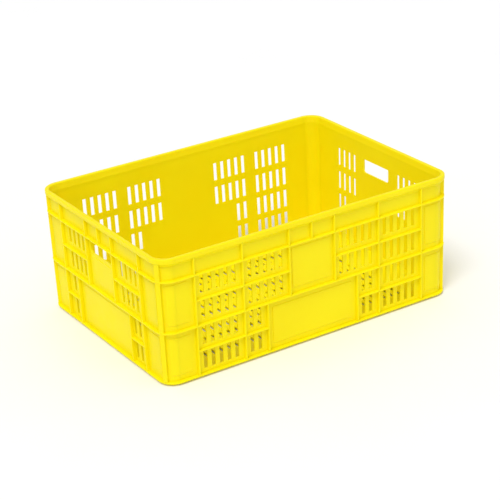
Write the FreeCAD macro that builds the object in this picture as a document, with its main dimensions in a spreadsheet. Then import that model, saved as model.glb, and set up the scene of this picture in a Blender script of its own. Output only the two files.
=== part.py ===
import FreeCAD, Part
import os
import Sketcher

# A vented stacking crate, moulded in one piece and modelled as its sections, which meet face to face.
# The frame: origin at the bottom centre, X along the length, Y along the width, Z up, millimetres.

SIZES = [
    ("length", 600, "outside length over the rim"),
    ("width", 424, "outside width over the rim"),
    ("height", 232, "foot to top of rim"),
    ("corner_radius", 32, "outside radius of the corners, seen from above"),
    ("draft", 3, "how far each wall leans inwards from rim to foot"),
    ("wall_thickness", 2.5, "sheet of the walls and corner posts"),
    ("rib_depth", 7, "outer plane to the sheet of the wall"),
    ("rib_thickness", 2.6, "thin ribs, rails and belts"),
    ("rib_setback", 0.8, "how far ribs stay behind the belts"),
    ("corner_rib_thickness", 9, "stiffening rib on the curve of a corner"),
    ("corner_rib_turn", 15, "degrees from the diagonal of a corner to its rib, towards the end wall"),
    ("long_corner_span", 67, "end of the crate to the last slotted cell of a long wall"),
    ("end_corner_span", 73.5, "side of the crate to the last slotted cell of an end wall"),
    ("top_band", 41.6, "top of the rim to the middle of the upper belt"),
    ("slot_width", 7.5, "vent slots"),
    ("end_slot_spacing", 16.3, "one vent slot of an end wall to the next"),
    ("slot_gap_low", 6.5, "rail to the foot of the slots above it"),
    ("slot_gap_high", 2.1, "top of the slots to the rail above them"),
    ("top_slot_gap_low", 8, "rail to the foot of the highest slots"),
    ("top_slot_gap_high", 0.8, "top of the highest slots to the upper belt"),
    ("hand_hole_height", 26.5, "hand hole in the end walls"),
    ("hand_hole_margin", 7.7, "side of the hand hole to the rib beside it"),
    ("hand_hole_radius", 6, "lower corners of the hand hole"),
    ("panel_border", 10, "plain border round a raised panel"),
    ("narrow_panel_border", 6, "the same over and beside an upper panel"),
    ("panel_rise", 1, "how far raised panels stand out of the sheet"),
    ("rim_width", 7.5, "flat top of the rim, out to the stacking recess"),
    ("lip_height", 8, "outer face of the rim"),
    ("recess_depth", 12, "stacking recess inside the rim"),
    ("rim_base", 16, "top of the rim down to the sheet of the wall"),
    ("foot_height", 4, "stacking foot, which drops into the recess below"),
    ("foot_thickness", 4, "stacking foot, seen from above"),
    ("stack_clearance", 1, "stacking foot to the rim it drops into"),
    ("foot_chamfer", 1, "lead-in on the stacking foot"),
    ("floor_thickness", 2.5, "floor plate"),
    ("floor_border", 40, "side of the crate to the first row of floor slots"),
    ("floor_slot_width", 6, "drain slots of the floor"),
    ("floor_bridge", 14, "floor left between two rows of slots"),
    ("grid_lift", 0.5, "floor grid to the ground"),
    ("edge_radius", 0.7, "rounded edges of ribs, rails and belts"),
    ("rim_radius", 2, "rounded top edges of the rim"),
]

# Ribs stand on columns, which are counted from the middle of a wall, one pitch apart.
INNER_COLUMN = 3
LOWER_COLUMN = 6
END_COLUMNS = 9
LONG_COLUMNS = 15
END_CELL_SLOTS = 4
WALL_ROWS = 4
FLOOR_COLUMNS = 14
FLOOR_ROWS = 8
GRID_BARS = 10
GRID_COLUMNS = 3
MATCH = 0.02

doc = FreeCAD.newDocument("StackingCrate")
sheet = doc.addObject("Spreadsheet::Sheet", "Sizes")
for row, (alias, size, meaning) in enumerate(SIZES, start=1):
    sheet.set(f"A{row}", meaning)
    sheet.set(f"B{row}", str(size))
    sheet.setAlias(f"B{row}", alias)
doc.recompute()


def value(expression):
    """The number that an expression gives with the sizes as they are."""
    return float(doc.getObject("Sizes").evalExpression(str(expression)))


def drafted(depth, level):
    """Depth, behind the upright outer plane, of a face that leans with the wall."""
    return f"({depth}) + Sizes.draft * (1 - ({level}) / Sizes.height)"


HALF_RIB = "Sizes.rib_thickness / 2"
SHEET_OUT = "Sizes.rib_depth"
SHEET_IN = "Sizes.rib_depth + Sizes.wall_thickness"
FLOOR_TOP = "(Sizes.foot_height + Sizes.floor_thickness)"
WALL_TOP = "(Sizes.height - Sizes.rim_base)"
LIP_BASE = "(Sizes.height - Sizes.lip_height)"
RECESS_BASE = "(Sizes.height - Sizes.recess_depth)"
ROW_HEIGHT = f"((Sizes.height - Sizes.top_band - Sizes.foot_height) / {WALL_ROWS})"
LONG_PITCH = f"((Sizes.length / 2 - Sizes.long_corner_span) / {LONG_COLUMNS})"
END_PITCH = f"((Sizes.width / 2 - Sizes.end_corner_span) / {END_COLUMNS})"
FOOT_OUT = "(Sizes.rim_width + Sizes.stack_clearance)"
FOOT_IN = f"({FOOT_OUT} + Sizes.foot_thickness)"


def rail_level(number):
    """Middle of a level line: 0 is the floor, 2 the middle belt and 4 the upper belt."""
    return f"(Sizes.foot_height + {number} * {ROW_HEIGHT})"


def under(number):
    return f"({rail_level(number)} - {HALF_RIB})"


def over(number):
    return f"({rail_level(number)} + {HALF_RIB})"


HAND_HOLE_TOP = under(4)
HAND_HOLE_BASE = f"({under(4)} - Sizes.hand_hole_height)"
HAND_HOLE_SIDE = f"({INNER_COLUMN} * {END_PITCH} - Sizes.hand_hole_margin)"

# Each wall: name, outward direction as turns of 90 degrees from the front, length, pitch, columns.
WALLS = {
    "front": (0, "Sizes.length", "Sizes.width", LONG_PITCH, LONG_COLUMNS),
    "right": (1, "Sizes.width", "Sizes.length", END_PITCH, END_COLUMNS),
    "back": (2, "Sizes.length", "Sizes.width", LONG_PITCH, LONG_COLUMNS),
    "left": (3, "Sizes.width", "Sizes.length", END_PITCH, END_COLUMNS),
}
CORNERS = {"back_right": (1, 1), "back_left": (-1, 1), "front_left": (-1, -1), "front_right": (1, -1)}


def place(body, angle, across=None, along=None):
    """Turn a body about Z and move it to a place that follows the sizes."""
    body.Placement = FreeCAD.Placement(FreeCAD.Vector(), FreeCAD.Rotation(FreeCAD.Vector(0, 0, 1), angle))
    if across:
        body.setExpression("Placement.Base.x", across)
    if along:
        body.setExpression("Placement.Base.y", along)


def new_body(label):
    body = doc.addObject("PartDesign::Body", label)
    body.Label = label
    body.AllowCompound = True
    return body


def wall_body(label, wall):
    """A body whose X runs along a wall and whose Y points into the crate from the outer plane."""
    turns, _, span, _, _ = WALLS[wall]
    body = new_body(label)
    sign = "-" if turns in (0, 3) else ""
    place(body, 90 * turns, **{"across" if turns % 2 else "along": f"{sign}{span} / 2"})
    return body


def corner_body(label, corner):
    """A body on the axis of a corner's curve, with X pointing outwards along the diagonal."""
    side, end = CORNERS[corner]
    body = new_body(label)
    angle = {(1, 1): 45, (-1, 1): 135, (-1, -1): 225, (1, -1): 315}[side, end]
    place(body, angle, f"{side} * (Sizes.length / 2 - Sizes.corner_radius)",
          f"{end} * (Sizes.width / 2 - Sizes.corner_radius)")
    return body


def sketch_on(body, plane, outlines, offset=None):
    """A sketch of closed straight-sided outlines, every corner held by two expressions."""
    sketch = body.newObject("Sketcher::SketchObject", body.Name + "_sketch")
    support = next(feature for feature in body.Origin.OriginFeatures if feature.Role == plane)
    sketch.AttachmentSupport = [(support, "")]
    sketch.MapMode = "FlatFace"
    if offset:
        sketch.setExpression("AttachmentOffset.Base.z", offset)
    for outline in outlines:
        first = sketch.GeometryCount
        places = [FreeCAD.Vector(value(across), value(up), 0) for across, up in outline]
        for start, end in zip(places, places[1:] + places[:1]):
            sketch.addGeometry(Part.LineSegment(start, end), False)
        for number, (corner, spot) in enumerate(zip(outline, places)):
            line = first + number
            before = first + (number - 1) % len(outline)
            sketch.addConstraint(Sketcher.Constraint("Coincident", before, 2, line, 1))
            for kind, expression, start in zip(("DistanceX", "DistanceY"), corner, (spot.x, spot.y)):
                index = sketch.addConstraint(Sketcher.Constraint(kind, -1, 1, line, 1, start))
                sketch.setExpression(f"Constraints[{index}]", str(expression))
    return sketch


def rectangle(left, low, right, high):
    return [(left, low), (right, low), (right, high), (left, high)]


def add(body, kind, sketch, **settings):
    """A sketch-based feature; settings that are text expressions are bound, the others are set."""
    feature = body.newObject(f"PartDesign::{kind}", f"{body.Name}_{kind}")
    feature.Profile = sketch
    for name, setting in settings.items():
        if name in ("Length", "Angle"):
            feature.setExpression(name, str(setting))
        else:
            setattr(feature, name, setting)
    body.Tip = feature
    return feature


def pad_along(body, outlines, start, end):
    """Outlines in depth and height, padded along a wall from start to end."""
    sketch = sketch_on(body, "YZ_Plane", outlines, start)
    return add(body, "Pad", sketch, Length=f"({end}) - ({start})")


def revolve(body, outline, angle, kind="Revolution", rib_side=0):
    """An outline in depth and height, turned about the corner's axis, half to each side of the diagonal,
    or of the corner rib where rib_side says which way that rib lies: 1 or -1 about Z."""
    turned = [(f"Sizes.corner_radius - ({depth})", level) for depth, level in outline]
    sketch = sketch_on(body, "XZ_Plane", [turned])
    if rib_side:
        upright = FreeCAD.Vector(0, rib_side, 0)
        turn = FreeCAD.Rotation(upright, value("Sizes.corner_rib_turn"))
        sketch.AttachmentOffset = FreeCAD.Placement(FreeCAD.Vector(), turn)
        sketch.setExpression("AttachmentOffset.Rotation.Angle", "Sizes.corner_rib_turn")
    return add(body, kind, sketch, ReferenceAxis=(sketch, ["V_Axis"]), Midplane=True, Angle=angle)


def cut_through(body, outlines, plane="XZ_Plane"):
    sketch = sketch_on(body, plane, outlines)
    return add(body, "Pocket", sketch, Type="ThroughAll", SideType="Symmetric")


def repeat(body, feature, axis, gap, count):
    """Copies of a feature, one gap apart, along an axis of its own sketch."""
    pattern = body.newObject("PartDesign::LinearPattern", body.Name + "_pattern")
    pattern.Originals = [feature]
    pattern.Direction = (feature.Profile[0], [axis])
    pattern.Mode = "Spacing"
    pattern.setExpression("Offset", gap)
    pattern.Occurrences = count
    body.Tip = pattern


def round_edges(body, radius, chosen):
    """Round the edges of the body so far that the test picks."""
    doc.recompute()
    base = body.Tip
    names = [f"Edge{number}" for number, edge in enumerate(base.Shape.Edges, start=1) if chosen(edge)]
    fillet = body.newObject("PartDesign::Fillet", body.Name + "_fillet")
    fillet.Base = (base, names)
    fillet.setExpression("Radius", radius)
    body.Tip = fillet


def section_corner(edge):
    """Depth and level of an edge that runs along a straight or a curved section, or None."""
    if isinstance(edge.Curve, Part.Circle):
        return value("Sizes.corner_radius") - edge.Curve.Radius, edge.Curve.Center.z
    if edge.BoundBox.XLength > MATCH and edge.BoundBox.ZLength < MATCH and edge.BoundBox.YLength < MATCH:
        return edge.CenterOfMass.y, edge.CenterOfMass.z
    return None


def round_section(body, corners, radius):
    """Round the edges that the named corners of the section leave along its run."""
    wanted = [(value(depth), value(level)) for depth, level in corners]

    def chosen(edge):
        spot = section_corner(edge)
        return spot is not None and any(
            abs(spot[0] - depth) < MATCH and abs(spot[1] - level) < MATCH for depth, level in wanted)

    round_edges(body, radius, chosen)


def run(label, kind, outline, rounded):
    """One section of a ring round the crate: a straight run on a wall, or a quarter turn."""
    if kind in WALLS:
        body = wall_body(label, kind)
        half = f"({WALLS[kind][1]} / 2 - Sizes.corner_radius)"
        pad_along(body, [outline], f"-{half}", half)
    else:
        body = corner_body(label, kind)
        revolve(body, outline, 90)
    for corners, radius in rounded:
        round_section(body, corners, radius)
    return body


# ---- sections in depth and height ----

def belt_outline(number):
    """A belt's section: from its own outer edge in to the leaning sheet."""
    low, high = under(number), over(number)
    return [(drafted(0, low), low), (drafted(SHEET_OUT, low), low),
            (drafted(SHEET_OUT, high), high), (drafted(0, high), high)]


def sheet_outline():
    return [(drafted(SHEET_OUT, FLOOR_TOP), FLOOR_TOP), (drafted(SHEET_IN, FLOOR_TOP), FLOOR_TOP),
            (drafted(SHEET_IN, WALL_TOP), WALL_TOP), (drafted(SHEET_OUT, WALL_TOP), WALL_TOP)]


def rib_outline(low, high):
    """A rib between two level faces, from its set-back edge in to the sheet."""
    edge = "Sizes.rib_setback"
    return [(drafted(edge, low), low), (drafted(SHEET_OUT, low), low),
            (drafted(SHEET_OUT, high), high), (drafted(edge, high), high)]


def top_rib_outline(low):
    """A rib that ends on the slope under the rim."""
    reach = "(Sizes.rib_setback / Sizes.rib_depth)"
    outer = (f"{reach} * ({drafted(SHEET_OUT, WALL_TOP)})",
             f"{LIP_BASE} - {reach} * ({LIP_BASE} - {WALL_TOP})")
    return [(drafted("Sizes.rib_setback", low), low), (drafted(SHEET_OUT, low), low),
            (drafted(SHEET_OUT, WALL_TOP), WALL_TOP), outer]


def raised_outline(low, high):
    """A raised panel with sloping top and bottom, rooted halfway into the sheet."""
    root = f"{SHEET_OUT} + Sizes.wall_thickness / 2"
    face = f"{SHEET_OUT} - Sizes.panel_rise"
    inner_low, inner_high = f"({low}) + Sizes.panel_rise", f"({high}) - Sizes.panel_rise"
    return [(drafted(root, low), low), (drafted(root, high), high), (drafted(SHEET_OUT, high), high),
            (drafted(face, inner_high), inner_high), (drafted(face, inner_low), inner_low),
            (drafted(SHEET_OUT, low), low)]


RIM_TOP_EDGES = [("0", "Sizes.height"), ("Sizes.rim_width", "Sizes.height")]
LIP_EDGE = ("0", LIP_BASE)
RIM_OUTLINE = [LIP_EDGE, *RIM_TOP_EDGES, (drafted(SHEET_IN, RECESS_BASE), RECESS_BASE),
               (drafted(SHEET_IN, WALL_TOP), WALL_TOP), (drafted(SHEET_OUT, WALL_TOP), WALL_TOP)]
FOOT_OUTLINE = [(FOOT_OUT, "Sizes.foot_chamfer"), (FOOT_OUT, "Sizes.foot_height"),
                (FOOT_IN, "Sizes.foot_height"), (FOOT_IN, "0"), (f"{FOOT_OUT} + Sizes.foot_chamfer", "0")]
BELT_PANELS = [(f"({FLOOR_TOP} + Sizes.panel_border)", f"({under(2)} - Sizes.panel_border)"),
               (f"({over(2)} + Sizes.panel_border)", f"({under(4)} - Sizes.narrow_panel_border)")]
SLOT_ROWS = [(f"{FLOOR_TOP} + Sizes.slot_gap_low", f"{under(1)} - Sizes.slot_gap_high"),
             (f"{over(1)} + Sizes.slot_gap_low", f"{under(2)} - Sizes.slot_gap_high"),
             (f"{over(2)} + Sizes.slot_gap_low", f"{under(3)} - Sizes.slot_gap_high"),
             (f"{over(3)} + Sizes.top_slot_gap_low", f"{under(4)} - Sizes.top_slot_gap_high")]


# ---- sub-parts ----

def make_rim_and_foot():
    rounded = [(RIM_TOP_EDGES, "Sizes.rim_radius"), ([LIP_EDGE], "Sizes.edge_radius")]
    for name in WALLS:
        run(f"rim_{name}", name, RIM_OUTLINE, rounded)
        run(f"foot_{name}", name, FOOT_OUTLINE, [])
    for name in CORNERS:
        run(f"rim_corner_{name}", name, RIM_OUTLINE, rounded)
        run(f"foot_corner_{name}", name, FOOT_OUTLINE, [])


def make_belts():
    for label, number in (("middle_belt", 2), ("upper_belt", 4)):
        outline = belt_outline(number)
        for name in WALLS:
            run(f"{label}_{name}", name, outline, [([outline[0], outline[3]], "Sizes.edge_radius")])


def make_corner_posts():
    """Quarter-round sheet, two belt arcs, raised panels and a stiffening rib near the end wall."""
    sheet_radius = f"(Sizes.corner_radius - {SHEET_OUT})"
    rib_angle = "(Sizes.corner_rib_thickness / Sizes.corner_radius * 180 / pi)"
    bare_angle = f"({rib_angle} + 2 * Sizes.narrow_panel_border / {sheet_radius} * 180 / pi)"
    for name, (side, end) in CORNERS.items():
        body = corner_body(f"corner_post_{name}", name)
        revolve(body, sheet_outline(), 90)
        belts = [belt_outline(number) for number in (2, 4)]
        for outline in belts:
            revolve(body, outline, 90)
        round_section(body, [outline[edge] for outline in belts for edge in (0, 3)], "Sizes.edge_radius")
        for low, high in BELT_PANELS:
            revolve(body, raised_outline(low, high), 90)
            proud = [(drafted("0", low), low), (drafted(SHEET_OUT, low), low),
                     (drafted(SHEET_OUT, high), high), (drafted("0", high), high)]
            revolve(body, proud, bare_angle, "Groove", -side * end)
        revolve(body, top_rib_outline(FLOOR_TOP), rib_angle, "Revolution", -side * end)


def slot_runs(pitch, columns):
    """Slots on the right half of a wall: middle of the first, spacing, number and rows."""
    if columns == END_COLUMNS:
        spacing = "Sizes.end_slot_spacing"
        first = f"{LOWER_COLUMN} * {pitch} - {(END_CELL_SLOTS - 1) / 2} * {spacing}"
        outer = f"{LOWER_COLUMN} * {pitch} + {spacing} / 2"
        return [(first, spacing, END_CELL_SLOTS, SLOT_ROWS[2:]),
                (outer, spacing, END_CELL_SLOTS // 2, SLOT_ROWS[:2])]
    cells = [(INNER_COLUMN, END_COLUMNS, SLOT_ROWS[2:]), (LOWER_COLUMN, END_COLUMNS, SLOT_ROWS[:2]),
             (END_COLUMNS, LONG_COLUMNS, SLOT_ROWS)]
    return [(f"{near + 1} * {pitch}", pitch, far - near - 1, rows) for near, far, rows in cells]


def make_walls():
    """Sheets with raised blank panels, rows of vent slots and, in the end walls, the hand hole."""
    for name, (_, span, _, pitch, columns) in WALLS.items():
        body = wall_body(f"{name}_wall", name)
        half = f"({span} / 2 - Sizes.corner_radius)"
        pad_along(body, [sheet_outline()], f"-{half}", half)
        borders = ("Sizes.panel_border", "Sizes.narrow_panel_border")
        for column, border, (low, high) in zip((LOWER_COLUMN, INNER_COLUMN), borders, BELT_PANELS):
            side = f"({column} * {pitch} - {HALF_RIB} - {border})"
            if columns == END_COLUMNS and column == INNER_COLUMN:
                high = f"({HAND_HOLE_BASE} - {border})"
            pad_along(body, [raised_outline(low, high)], f"-{side}", side)
        reach = f"({columns} * {pitch} + {HALF_RIB} + Sizes.panel_border)"
        for low, high in BELT_PANELS:
            pad_along(body, [raised_outline(low, high)], f"-{half}", f"-{reach}")
            pad_along(body, [raised_outline(low, high)], reach, half)
        if columns == END_COLUMNS:
            hole = rectangle(f"-{HAND_HOLE_SIDE}", HAND_HOLE_BASE, HAND_HOLE_SIDE, HAND_HOLE_TOP)
            cut_through(body, [hole])
            round_edges(body, "Sizes.hand_hole_radius", hand_hole_corner)
        for first, spacing, count, rows in slot_runs(pitch, columns):
            for middle in (f"({first})", f"(-({first}) - {count - 1} * {spacing})"):
                left, right = f"{middle} - Sizes.slot_width / 2", f"{middle} + Sizes.slot_width / 2"
                slots = cut_through(body, [rectangle(left, low, right, high) for low, high in rows])
                repeat(body, slots, "H_Axis", spacing, count)


def hand_hole_corner(edge):
    """Short edges through the sheet at the lower corners of the hand hole."""
    spot = edge.CenterOfMass
    return (abs(abs(spot.x) - value(HAND_HOLE_SIDE)) < MATCH and edge.BoundBox.XLength < MATCH
            and abs(spot.z - value(HAND_HOLE_BASE)) < MATCH and edge.BoundBox.ZLength < MATCH)


def make_ribs():
    """Upright ribs of each wall, split where the belts cross them."""
    lower = rib_outline(FLOOR_TOP, under(2))
    upper = rib_outline(over(2), under(4))
    top = top_rib_outline(over(4))
    for name, (_, _, _, pitch, columns) in WALLS.items():
        body = wall_body(f"{name}_ribs", name)
        stations = [("0", [top])]
        for column, pieces in ((INNER_COLUMN, [upper, top]), (LOWER_COLUMN, [lower]),
                               (END_COLUMNS, [lower, upper, top]), (LONG_COLUMNS, [lower, upper, top])):
            if column <= columns:
                stations += [(f"{sign}{column} * {pitch}", pieces) for sign in ("", "-")]
        for middle, pieces in stations:
            pad_along(body, pieces, f"{middle} - {HALF_RIB}", f"{middle} + {HALF_RIB}")
        round_edges(body, "Sizes.edge_radius", rib_edge)


def rib_edge(edge):
    """Long edges of the ribs and rails on their outer side."""
    front = value("Sizes.rib_setback + Sizes.draft") + MATCH
    return edge.CenterOfMass.y < front and edge.Length > value("Sizes.rib_depth") + MATCH


def make_rails():
    """Cross rails of the slotted cells, between one rib and the next."""
    for name, (_, _, _, pitch, columns) in WALLS.items():
        body = wall_body(f"{name}_rails", name)
        for number, first in ((3, INNER_COLUMN), (1, LOWER_COLUMN)):
            outline = rib_outline(under(number), over(number))
            ribs = [column for column in (first, END_COLUMNS, LONG_COLUMNS) if column <= columns]
            for near, far in zip(ribs, ribs[1:]):
                start = f"({near} * {pitch} + {HALF_RIB})"
                end = f"({far} * {pitch} - {HALF_RIB})"
                pad_along(body, [outline], start, end)
                pad_along(body, [outline], f"-{end}", f"-{start}")
        round_edges(body, "Sizes.edge_radius", rib_edge)


def make_floor():
    """The floor plate reaches out under the walls as a flange, and has rows of drain slots."""
    edge = f"({drafted('0', 'Sizes.foot_height')})"
    side, end = f"(Sizes.length / 2 - {edge})", f"(Sizes.width / 2 - {edge})"
    body = new_body("floor_plate")
    plate = rectangle(f"-{side}", f"-{end}", side, end)
    outline = sketch_on(body, "XY_Plane", [plate], "Sizes.foot_height")
    add(body, "Pad", outline, Length="Sizes.floor_thickness")
    round_edges(body, f"Sizes.corner_radius - {edge}", lambda line: line.BoundBox.ZLength > MATCH)
    round_edges(body, "Sizes.edge_radius", lambda line: line.BoundBox.ZLength < MATCH)
    row_gap = f"((Sizes.width - 2 * Sizes.floor_border) / {FLOOR_ROWS})"
    left = f"(-{FLOOR_COLUMNS} * {LONG_PITCH} - Sizes.floor_slot_width / 2)"
    right = f"(-{FLOOR_COLUMNS} * {LONG_PITCH} + Sizes.floor_slot_width / 2)"
    half_bridge = "Sizes.floor_bridge / 2"
    rows = range(-FLOOR_ROWS // 2, FLOOR_ROWS // 2)
    openings = [rectangle(left, f"{row} * {row_gap} + {half_bridge}",
                          right, f"{row + 1} * {row_gap} - {half_bridge}") for row in rows]
    slots = cut_through(body, openings, "XY_Plane")
    repeat(body, slots, "H_Axis", LONG_PITCH, 2 * FLOOR_COLUMNS + 1)
    make_floor_grid(row_gap)


def make_floor_grid(row_gap):
    """Stiffening ribs under the floor, inside the stacking foot: some along X, some along Y."""
    body = new_body("floor_grid")
    side, end = f"(Sizes.length / 2 - {FOOT_IN})", f"(Sizes.width / 2 - {FOOT_IN})"
    first_row = f"({1 - FLOOR_ROWS // 2} * {row_gap})"
    bar_gap = f"({GRID_COLUMNS} * {LONG_PITCH})"
    first_bar = f"(-{(GRID_BARS - 1) / 2} * {bar_gap})"
    along = rectangle(f"-{side}", f"{first_row} - {HALF_RIB}", side, f"{first_row} + {HALF_RIB}")
    across = rectangle(f"{first_bar} - {HALF_RIB}", f"-{end}", f"{first_bar} + {HALF_RIB}", end)
    for bar, axis, gap, count in ((along, "V_Axis", row_gap, FLOOR_ROWS - 1),
                                  (across, "H_Axis", bar_gap, GRID_BARS)):
        sketch = sketch_on(body, "XY_Plane", [bar], "Sizes.grid_lift")
        bars = add(body, "Pad", sketch, Length="Sizes.foot_height - Sizes.grid_lift")
        repeat(body, bars, axis, gap, count)


def check_and_export():
    doc.recompute()
    for item in doc.Objects:
        if "Invalid" in item.State or "Error" in item.State:
            raise RuntimeError(f"{item.Label} failed: {item.State}")
    os.makedirs("parts", exist_ok=True)
    for body in doc.findObjects("PartDesign::Body"):
        shape = body.Shape
        if shape.isNull() or not shape.isValid() or shape.Volume <= 0:
            raise RuntimeError(f"{body.Label} has no valid shape")
        shape.exportStep(f"parts/{body.Label}.step")
        print(f"{body.Label}: {len(shape.Solids)} solid(s), {shape.Volume / 1000:.1f} cm3")


make_rim_and_foot()
make_belts()
make_corner_posts()
make_walls()
make_ribs()
make_rails()
make_floor()
check_and_export()
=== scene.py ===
"""Vented stacking crate of yellow high-density polyethylene, on a plain pale floor."""
import math

import bpy
from mathutils import Matrix, Vector

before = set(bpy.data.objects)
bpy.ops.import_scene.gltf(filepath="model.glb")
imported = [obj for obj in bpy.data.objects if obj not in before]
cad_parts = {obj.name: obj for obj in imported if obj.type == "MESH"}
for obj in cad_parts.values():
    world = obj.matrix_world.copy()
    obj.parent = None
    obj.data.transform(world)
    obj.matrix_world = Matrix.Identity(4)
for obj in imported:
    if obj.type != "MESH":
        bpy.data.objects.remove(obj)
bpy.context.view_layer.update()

# Camera: places in metres, angles in degrees, lens and sensor in millimetres.
CAMERA_TARGET = Vector((0.0000, -0.0085, 0.0995))
CAMERA_AZIMUTH = -31.77
CAMERA_ELEVATION = 24.10
CAMERA_ROLL = -2.96
CAMERA_DISTANCE = 3.053
CAMERA_LENS = 122.1
SENSOR_WIDTH = 36

# Studio: the key light's power is in W/m2, the fill light's in W, and sizes and places are in metres.
LIGHT_TARGET = Vector((0, 0, 0.1))
KEY_PLACE = (-1.3, -1.1, 3.0)
KEY_POWER = 1.55
KEY_ANGLE = math.radians(25)
FILL_PLACE = (-1.2, -2.6, 1.9)
FILL_POWER = 4
FILL_SIZE = 2.4
SKY_STRENGTH = 0.66
FLOOR_REACH = 60.0

# Colours drift between the two of each pair.
YELLOWS = ((0.92, 0.77, 0.0015, 1), (0.95, 0.81, 0.003, 1))
PALE_GREYS = ((0.93, 0.93, 0.93, 1), (0.95, 0.95, 0.95, 1))
PLASTIC_ROUGHNESS = (0.36, 0.50)
FLOOR_ROUGHNESS = 0.8

# Noise scales, per metre: slow drift of colour, cloudy gloss, sink marks, fine grain and the floor.
DRIFT_SCALE = 9.0
GLOSS_SCALE = 35.0
SINK_SCALE = 28.0
GRAIN_SCALE = 1400.0
FLOOR_SCALE = 3.0


def make_camera():
    azimuth, elevation = math.radians(CAMERA_AZIMUTH), math.radians(CAMERA_ELEVATION)
    away = Vector((math.sin(azimuth) * math.cos(elevation),
                   -math.cos(azimuth) * math.cos(elevation),
                   math.sin(elevation)))
    aim = (-away).to_track_quat("-Z", "Y").to_matrix()
    roll = Matrix.Rotation(math.radians(CAMERA_ROLL), 3, "Z")
    data = bpy.data.cameras.new("camera")
    data.lens = CAMERA_LENS
    data.sensor_width = SENSOR_WIDTH
    camera = bpy.data.objects.new("camera", data)
    place = Matrix.Translation(CAMERA_TARGET + CAMERA_DISTANCE * away)
    camera.matrix_world = place @ (aim @ roll).to_4x4()
    bpy.context.scene.collection.objects.link(camera)
    bpy.context.scene.camera = camera


def add_light(kind, name, place, power, **settings):
    """A light that points from its place at the crate."""
    data = bpy.data.lights.new(name, kind)
    data.energy = power
    for setting, number in settings.items():
        setattr(data, setting, number)
    light = bpy.data.objects.new(name, data)
    light.location = place
    light.rotation_euler = (LIGHT_TARGET - Vector(place)).to_track_quat("-Z", "Y").to_euler()
    bpy.context.scene.collection.objects.link(light)


def make_studio():
    add_light("SUN", "key", KEY_PLACE, KEY_POWER, angle=KEY_ANGLE)
    add_light("AREA", "fill", FILL_PLACE, FILL_POWER, size=FILL_SIZE)
    world = bpy.data.worlds.new("studio")
    world.use_nodes = True
    background = world.node_tree.nodes["Background"]
    background.inputs["Color"].default_value = (1.0, 1.0, 1.0, 1.0)
    background.inputs["Strength"].default_value = SKY_STRENGTH
    bpy.context.scene.world = world
    bpy.context.scene.view_settings.view_transform = "Standard"


# ---- materials ----

def new_material(name):
    """A material, with its tree, its shader and the place on the object that the noise reads."""
    material = bpy.data.materials.new(name)
    material.use_nodes = True
    tree = material.node_tree
    place = tree.nodes.new("ShaderNodeTexCoord").outputs["Object"]
    return material, tree, tree.nodes["Principled BSDF"], place


def noise(tree, place, scale, detail=2.0, roughness=0.5):
    node = tree.nodes.new("ShaderNodeTexNoise")
    node.inputs["Scale"].default_value = scale
    node.inputs["Detail"].default_value = detail
    node.inputs["Roughness"].default_value = roughness
    tree.links.new(place, node.inputs["Vector"])
    return node.outputs["Fac"]


def to_range(tree, source, low, high, start=0.3, end=0.7):
    node = tree.nodes.new("ShaderNodeMapRange")
    for name, number in (("From Min", start), ("From Max", end), ("To Min", low), ("To Max", high)):
        node.inputs[name].default_value = number
    tree.links.new(source, node.inputs["Value"])
    return node.outputs["Result"]


def drift(tree, source, colours, socket):
    """A colour that wanders between two as the noise does."""
    mix = tree.nodes.new("ShaderNodeMix")
    mix.data_type = "RGBA"
    mix.inputs["A"].default_value, mix.inputs["B"].default_value = colours
    tree.links.new(to_range(tree, source, 0.0, 1.0), mix.inputs["Factor"])
    tree.links.new(mix.outputs["Result"], socket)


def bump(tree, height, strength, distance, before=None):
    node = tree.nodes.new("ShaderNodeBump")
    node.inputs["Strength"].default_value = strength
    node.inputs["Distance"].default_value = distance
    tree.links.new(height, node.inputs["Height"])
    if before:
        tree.links.new(before, node.inputs["Normal"])
    return node.outputs["Normal"]


def moulded_plastic():
    """Satin moulded polyethylene: slow colour drift, cloudy gloss, fine grain and soft sink marks."""
    material, tree, shader, place = new_material("yellow_polyethylene")
    drift(tree, noise(tree, place, DRIFT_SCALE, 4.0), YELLOWS, shader.inputs["Base Color"])
    gloss = to_range(tree, noise(tree, place, GLOSS_SCALE, 5.0, 0.65), *PLASTIC_ROUGHNESS)
    tree.links.new(gloss, shader.inputs["Roughness"])
    sink = bump(tree, noise(tree, place, SINK_SCALE, 1.0), 0.35, 0.0012)
    grain = bump(tree, noise(tree, place, GRAIN_SCALE), 0.16, 0.00015, sink)
    tree.links.new(grain, shader.inputs["Normal"])
    shader.inputs["IOR"].default_value = 1.5
    shader.inputs["Specular IOR Level"].default_value = 0.16
    shader.inputs["Subsurface Weight"].default_value = 0.25
    shader.inputs["Subsurface Radius"].default_value = (1.0, 0.7, 0.1)
    shader.inputs["Subsurface Scale"].default_value = 0.005
    return material


def make_floor():
    material, tree, shader, place = new_material("pale_floor")
    drift(tree, noise(tree, place, FLOOR_SCALE), PALE_GREYS, shader.inputs["Base Color"])
    shader.inputs["Roughness"].default_value = FLOOR_ROUGHNESS
    corners = [(x * FLOOR_REACH, y * FLOOR_REACH, 0) for x, y in ((-1, -1), (1, -1), (1, 1), (-1, 1))]
    mesh = bpy.data.meshes.new("floor")
    mesh.from_pydata(corners, [], [(0, 1, 2, 3)])
    mesh.materials.append(material)
    floor = bpy.data.objects.new("floor", mesh)
    bpy.context.scene.collection.objects.link(floor)


make_camera()
make_studio()
make_floor()
plastic = moulded_plastic()
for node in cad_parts.values():
    node.data.materials.clear()
    node.data.materials.append(plastic)
